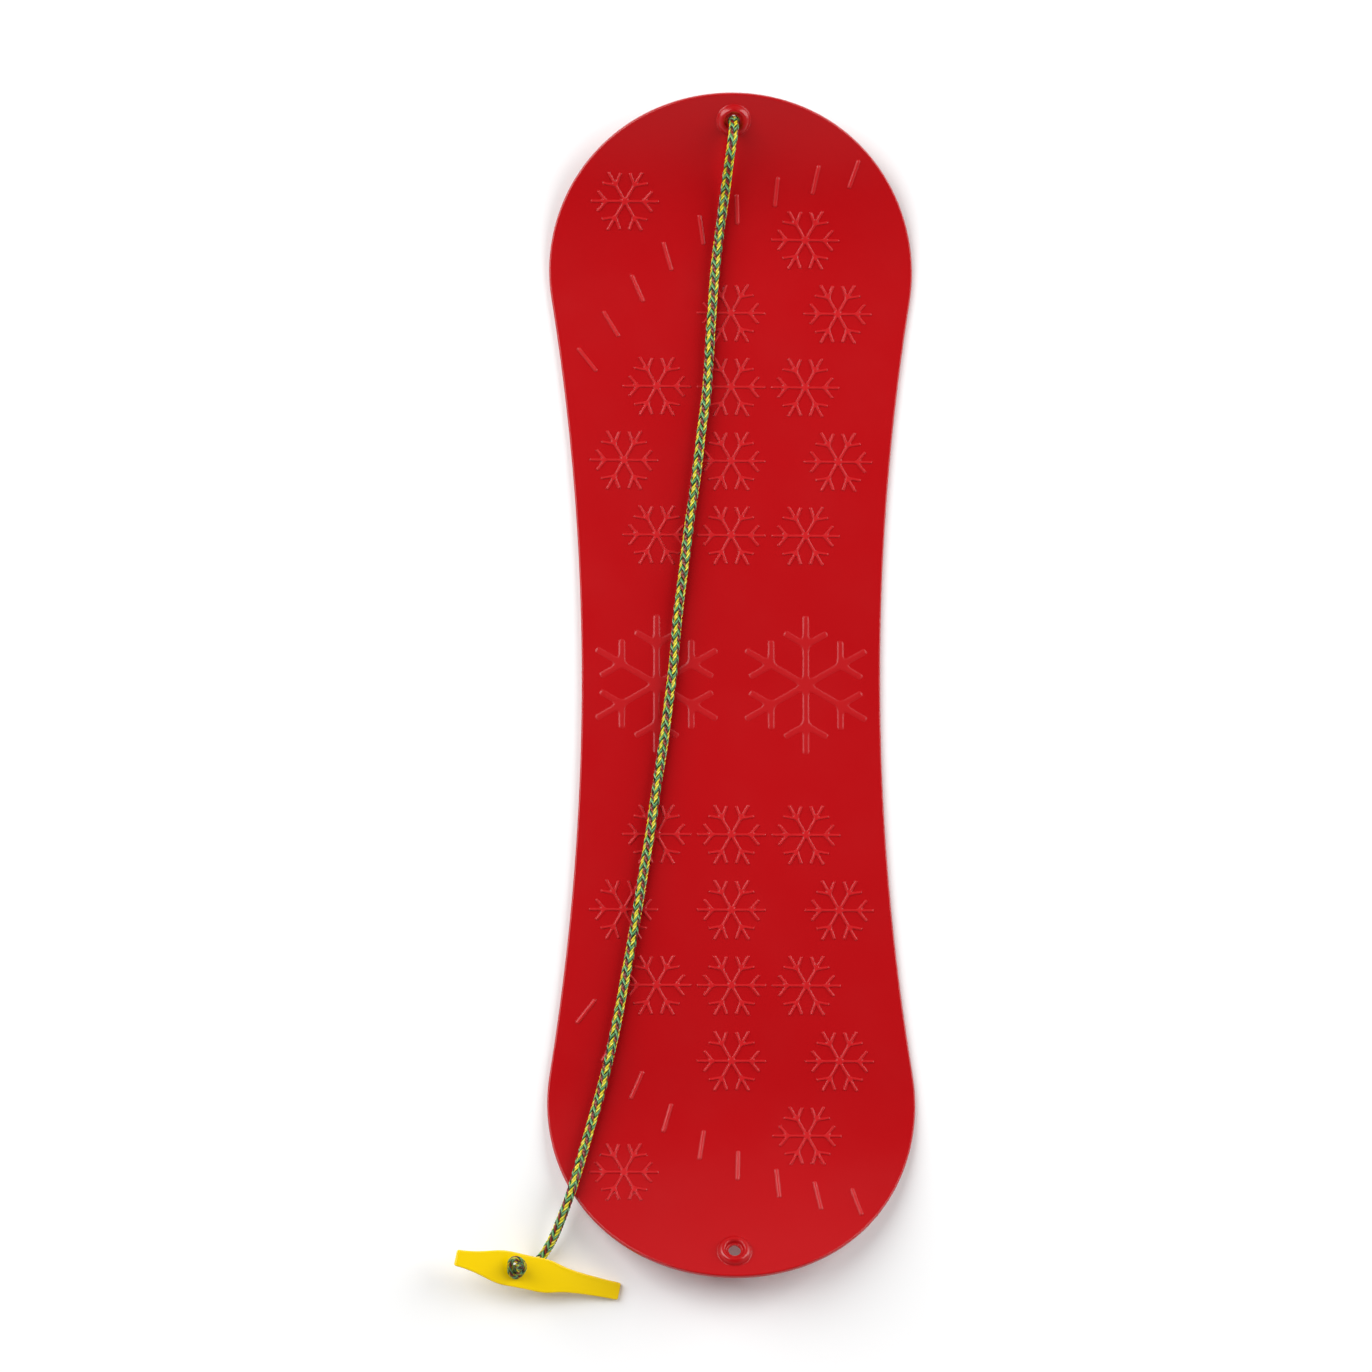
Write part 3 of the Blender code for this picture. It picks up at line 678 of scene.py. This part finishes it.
def moulded_skin():
    """A moulding's surface: faint waves, fine orange peel, uneven gloss and colour, and relief painted paler
    as a highlight.
    """
    group = bpy.data.node_groups.new("moulded_skin", "ShaderNodeTree")
    numbers = (
        "Shade", "Low Roughness", "High Roughness", "Relief Roughness",
        "Peel Scale", "Peel Height", "Wave Scale", "Wave Height",
    )
    group.interface.new_socket("Colour", in_out="INPUT", socket_type="NodeSocketColor")
    group.interface.new_socket("Relief Highlight Colour", in_out="INPUT", socket_type="NodeSocketColor")
    for name in numbers:
        group.interface.new_socket(name, in_out="INPUT", socket_type="NodeSocketFloat")
    group.interface.new_socket("Colour", in_out="OUTPUT", socket_type="NodeSocketColor")
    group.interface.new_socket("Roughness", in_out="OUTPUT", socket_type="NodeSocketFloat")
    group.interface.new_socket("Normal", in_out="OUTPUT", socket_type="NodeSocketVector")
    given = group.nodes.new("NodeGroupInput")
    result = group.nodes.new("NodeGroupOutput")
    place = group.nodes.new("ShaderNodeTexCoord")

    def noise(detail, scale=None):
        made = group.nodes.new("ShaderNodeTexNoise")
        made.inputs["Detail"].default_value = detail
        group.links.new(place.outputs["Object"], made.inputs["Vector"])
        if scale:
            made.inputs["Scale"].default_value = scale
        return made

    cloud, gloss = noise(detail=3, scale=5), noise(detail=5, scale=22)
    peel, wave = noise(detail=2), noise(detail=1)
    group.links.new(given.outputs["Peel Scale"], peel.inputs["Scale"])
    group.links.new(given.outputs["Wave Scale"], wave.inputs["Scale"])
    shade = group.nodes.new("ShaderNodeMapRange")
    shade.inputs["From Min"].default_value = 0.3
    shade.inputs["From Max"].default_value = 0.7
    shade.inputs["To Max"].default_value = 1
    group.links.new(cloud.outputs["Fac"], shade.inputs["Value"])
    group.links.new(given.outputs["Shade"], shade.inputs["To Min"])
    tint = group.nodes.new("ShaderNodeVectorMath")
    tint.operation = "SCALE"
    group.links.new(given.outputs["Colour"], tint.inputs[0])
    group.links.new(shade.outputs["Result"], tint.inputs["Scale"])
    # The relief is painted paler the higher it stands, a painted highlight on its crests, and duller from
    # its foot on
    relief = group.nodes.new("ShaderNodeAttribute")
    relief.attribute_name = "relief"
    # The colours of a Mix node are its inputs 6 and 7 and its output 2
    painted_highlight = group.nodes.new("ShaderNodeMix")
    painted_highlight.data_type = "RGBA"
    crest = group.nodes.new("ShaderNodeMath")
    crest.operation = "POWER"
    crest.inputs[1].default_value = 1.1
    group.links.new(relief.outputs["Fac"], crest.inputs[0])
    group.links.new(crest.outputs["Value"], painted_highlight.inputs[0])
    group.links.new(tint.outputs["Vector"], painted_highlight.inputs[6])
    group.links.new(given.outputs["Relief Highlight Colour"], painted_highlight.inputs[7])
    group.links.new(painted_highlight.outputs[2], result.inputs["Colour"])
    rough = group.nodes.new("ShaderNodeMapRange")
    rough.inputs["From Min"].default_value = 0.3
    rough.inputs["From Max"].default_value = 0.7
    group.links.new(gloss.outputs["Fac"], rough.inputs["Value"])
    group.links.new(given.outputs["Low Roughness"], rough.inputs["To Min"])
    group.links.new(given.outputs["High Roughness"], rough.inputs["To Max"])
    duller = group.nodes.new("ShaderNodeMapRange")
    duller.inputs["From Max"].default_value = 0.08
    group.links.new(relief.outputs["Fac"], duller.inputs["Value"])
    group.links.new(rough.outputs["Result"], duller.inputs["To Min"])
    group.links.new(given.outputs["Relief Roughness"], duller.inputs["To Max"])
    group.links.new(duller.outputs["Result"], result.inputs["Roughness"])
    fine, broad = group.nodes.new("ShaderNodeBump"), group.nodes.new("ShaderNodeBump")
    group.links.new(wave.outputs["Fac"], broad.inputs["Height"])
    group.links.new(given.outputs["Wave Height"], broad.inputs["Distance"])
    group.links.new(peel.outputs["Fac"], fine.inputs["Height"])
    group.links.new(given.outputs["Peel Height"], fine.inputs["Distance"])
    group.links.new(broad.outputs["Normal"], fine.inputs["Normal"])
    group.links.new(fine.outputs["Normal"], result.inputs["Normal"])
    return group


def moulded_plastic(name, colour, relief_highlight_colour, ior, values):
    made, tree, shader = shader_nodes(name)
    skin = tree.nodes.new("ShaderNodeGroup")
    skin.node_tree = moulding
    skin.inputs["Colour"].default_value = (*colour, 1)
    skin.inputs["Relief Highlight Colour"].default_value = (*relief_highlight_colour, 1)
    for socket, value in values.items():
        skin.inputs[socket].default_value = value
    tree.links.new(skin.outputs["Colour"], shader.inputs["Base Color"])
    tree.links.new(skin.outputs["Roughness"], shader.inputs["Roughness"])
    tree.links.new(skin.outputs["Normal"], shader.inputs["Normal"])
    shader.inputs["IOR"].default_value = ior
    return made


moulding = moulded_skin()
red_polyethylene = moulded_plastic(
    "red_polyethylene",
    colour=(0.48, 0.005, 0.0075),
    # The relief's colour is paler than the deck's: a painted highlight on the crests
    relief_highlight_colour=(0.57, 0.009, 0.012),
    ior=1.46,
    values={
        "Shade": 0.94, "Low Roughness": 0.16, "High Roughness": 0.22, "Relief Roughness": 0.29,
        "Peel Scale": 700, "Peel Height": 0.00002, "Wave Scale": 26, "Wave Height": 0.0002,
    },
)
board = moulded_board(red_polyethylene)
flats = board.modifiers.new("flat faces lead", "WEIGHTED_NORMAL")
flats.keep_sharp = True
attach(board, "board")
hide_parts("board")


# Tow handle. A flat plate moulded in yellow plastic, with rounded edges, widest round its hole and waisted
# towards its square ends. The rope comes up through the hole, and its knot keeps the plate on.
HANDLE_LENGTH = 0.1305
HANDLE_WIDTH = 0.026
HANDLE_THICKNESS = 0.0036
HANDLE_EDGE_RADIUS = 0.001
HANDLE_HOLE_RADIUS = 0.0052
HANDLE_RIM_RADIUS = 0.0005  # of the rounding at the hole's mouths
HANDLE_HOLE_SHARE = 0.355  # of the length, at which the hole is
HANDLE_SEAT_GAP = 0.0003
HANDLE_CORNER_RADIUS = 0.0015
HANDLE_CORNER_STEPS = 5
HANDLE_SMOOTH_ANGLE = radians(40)
# Shares of the handle's length, and of its half width there
HANDLE_OUTLINE_SHARES = (
    (0, 0.47), (0.07, 0.53), (0.15, 0.68), (0.24, 0.91), (0.3, 0.99), (0.38, 0.98), (0.45, 0.97),
    (0.52, 0.985), (0.58, 0.92), (0.64, 0.77), (0.7, 0.67), (0.77, 0.6), (0.85, 0.55), (0.93, 0.52),
    (1.0, 0.5),
)
HANDLE_OUTLINE_PIECES = 5  # of the curve between two of those


def handle_outline():
    along = [(x * HANDLE_LENGTH, y * HANDLE_WIDTH / 2, 0) for x, y in HANDLE_OUTLINE_SHARES]
    upper = [(x, y) for x, y, _ in curve_through(along, HANDLE_OUTLINE_PIECES)]
    ends = []
    for (x, y), inward in ((upper[0], 1), (upper[-1], -1)):
        centre = (x + inward * HANDLE_CORNER_RADIUS, y - HANDLE_CORNER_RADIUS)
        start = pi if inward > 0 else 0
        ends.append(arc(centre, HANDLE_CORNER_RADIUS, start, pi / 2, HANDLE_CORNER_STEPS))
    first_x, last_x = HANDLE_CORNER_RADIUS, HANDLE_LENGTH - HANDLE_CORNER_RADIUS
    between = [(x, y) for x, y in upper if first_x < x < last_x]
    upper = ends[0] + between + ends[1][::-1]
    return [(x, -y) for x, y in upper] + upper[::-1]


def moulded_handle(finish):
    bm = bmesh.new()
    side = HANDLE_THICKNESS / 2
    centre = (HANDLE_LENGTH * HANDLE_HOLE_SHARE, 0)
    faces, walls = [], []
    for normal in (-1, 1):
        corners, _ = loop_of(bm, handle_outline(), normal * (side - HANDLE_EDGE_RADIUS))
        faces.append(face_on(bm, corners, (0, 0, normal)))
    bmesh.ops.bridge_loops(bm, edges=list(faces[0].edges) + list(faces[1].edges))
    for face, normal in zip(faces, (-1, 1)):
        round_over(bm, face, HANDLE_EDGE_RADIUS, EDGE_STEPS)
        boundary = list(face.edges)
        bmesh.ops.delete(bm, geom=[face], context="FACES_ONLY")
        loops = []
        for step in range(EDGE_STEPS):
            angle = pi / 2 * step / (EDGE_STEPS - 1)
            radius = HANDLE_HOLE_RADIUS + HANDLE_RIM_RADIUS * (1 - sin(angle))
            height = side - HANDLE_RIM_RADIUS * (1 - cos(angle))
            loops.append(circle_of(bm, centre, radius, normal * height)[1])
        fill_round(bm, boundary + loops[0], (0, 0, normal))
        for outer, inner in zip(loops, loops[1:]):
            bmesh.ops.bridge_loops(bm, edges=outer + inner)
        walls += loops[-1]
    bmesh.ops.bridge_loops(bm, edges=walls)
    bmesh.ops.recalc_face_normals(bm, faces=list(bm.faces))
    bmesh.ops.translate(bm, verts=list(bm.verts), vec=(-centre[0], 0, HANDLE_SEAT_GAP - side))
    place = Matrix.Translation(rope_end) @ handle_turn.to_4x4()
    bmesh.ops.transform(bm, verts=list(bm.verts), matrix=place)
    return finished("moulded_tow_handle", bm, finish, HANDLE_SMOOTH_ANGLE)


yellow_plastic = moulded_plastic(
    "yellow_plastic",
    colour=(1.0, 0.68, 0),
    relief_highlight_colour=(1.0, 0.68, 0),
    ior=1.42,
    values={
        "Shade": 0.96, "Low Roughness": 0.1, "High Roughness": 0.16, "Relief Roughness": 0.4,
        "Peel Scale": 900, "Peel Height": 0.00002, "Wave Scale": 40, "Wave Height": 0.0001,
    },
)
handle = moulded_handle(yellow_plastic)
flats = handle.modifiers.new("flat faces lead", "WEIGHTED_NORMAL")
flats.keep_sharp = True
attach(handle, "handle")
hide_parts("tow_handle")


# Studio. A white paper floor between two long soft lights, both a little towards the nose; the left one is
# the stronger and the higher. The walls are pale, most of all at the sides, and the ceiling is dark, so
# that the level deck stays deep red.
FLOOR_SIZE = 12.0
FLOOR_DROP = 0.0003  # below the board's base
FLOOR_WHITE = (0.99, 0.99, 0.99)
FLOOR_LIFT = 0.015  # what the background shows over what the lamps give, so that it is white
# Each lamp's place, width and length, and watts
LAMPS = (
    ("key_light", (-2.7, 1.4, 2.9), (2.6, 4.5), 165),
    ("fill_light", (3.3, 1.25, 2.3), (2.6, 4.5), 136),
)
# From the level to straight up: sines of the rise, and how white the room is there
WALL_TO_CEILING = ((0.0, 0.4), (0.3, 0.6), (0.6, 0.5), (0.84, 0.25), (0.93, 0.02), (1.0, 0.005))
NOSE_WALL_SHARE = 0.4  # of the side walls' white
TAIL_WALL_RISE = 0.6  # of the way from the nose wall's white to the side walls', which the tail wall has


def paper_floor():
    bm = bmesh.new()
    bmesh.ops.create_grid(bm, x_segments=2, y_segments=2, size=FLOOR_SIZE / 2)
    bmesh.ops.translate(bm, verts=list(bm.verts), vec=(0, 0, -FLOOR_DROP))
    made, tree, shader = shader_nodes("white_paper")
    shader.inputs["Base Color"].default_value = (*FLOOR_WHITE, 1)
    shader.inputs["Roughness"].default_value = 0.9
    shader.inputs["Specular IOR Level"].default_value = 0.1
    shader.inputs["Emission Color"].default_value = (1, 1, 1, 1)
    rays = tree.nodes.new("ShaderNodeLightPath")
    seen = rays.outputs["Is Camera Ray"]
    for kind in ("Is Glossy Ray", "Is Transmission Ray"):
        either = tree.nodes.new("ShaderNodeMath")
        either.operation = "MAXIMUM"
        tree.links.new(seen, either.inputs[0])
        tree.links.new(rays.outputs[kind], either.inputs[1])
        seen = either.outputs["Value"]
    lift = tree.nodes.new("ShaderNodeMath")
    lift.operation = "MULTIPLY"
    lift.inputs[1].default_value = FLOOR_LIFT
    tree.links.new(seen, lift.inputs[0])
    tree.links.new(lift.outputs["Value"], shader.inputs["Emission Strength"])
    return finished("floor", bm, made)


def lamp(name, place, size, power):
    data = bpy.data.lights.new(name, "AREA")
    data.shape = "RECTANGLE"
    data.size, data.size_y = size
    data.energy = power
    light = bpy.data.objects.new(name, data)
    light.location = place
    light.rotation_euler = Vector(place).to_track_quat("Z", "Y").to_euler()
    bpy.context.scene.collection.objects.link(light)


def studio_walls():
    world = bpy.data.worlds.new("studio")
    world.use_nodes = True
    tree = world.node_tree
    heading = tree.nodes.new("ShaderNodeTexCoord")
    split = tree.nodes.new("ShaderNodeSeparateXYZ")
    ramp = tree.nodes.new("ShaderNodeValToRGB")
    stops = ramp.color_ramp.elements
    # A new ramp already has its first two stops
    for number, (height, white) in enumerate(WALL_TO_CEILING):
        stop = stops[number] if number < 2 else stops.new(height)
        stop.position = height
        stop.color = (white, white, white, 1)
    sideways = tree.nodes.new("ShaderNodeMath")
    sideways.operation = "ABSOLUTE"
    tailward = tree.nodes.new("ShaderNodeMath")
    tailward.operation = "MULTIPLY"
    tailward.inputs[1].default_value = -TAIL_WALL_RISE
    either = tree.nodes.new("ShaderNodeMath")
    either.operation = "MAXIMUM"
    level = tree.nodes.new("ShaderNodeMapRange")
    level.inputs["To Min"].default_value = NOSE_WALL_SHARE
    tree.links.new(heading.outputs["Generated"], split.inputs["Vector"])
    tree.links.new(split.outputs["Z"], ramp.inputs["Fac"])
    tree.links.new(split.outputs["X"], sideways.inputs[0])
    tree.links.new(split.outputs["Y"], tailward.inputs[0])
    tree.links.new(sideways.outputs["Value"], either.inputs[0])
    tree.links.new(tailward.outputs["Value"], either.inputs[1])
    tree.links.new(either.outputs["Value"], level.inputs["Value"])
    tree.links.new(ramp.outputs["Color"], tree.nodes["Background"].inputs["Color"])
    tree.links.new(level.outputs["Result"], tree.nodes["Background"].inputs["Strength"])
    bpy.context.scene.world = world


floor = paper_floor()
for values in LAMPS:
    lamp(*values)
studio_walls()
bpy.context.scene.view_settings.view_transform = "Standard"
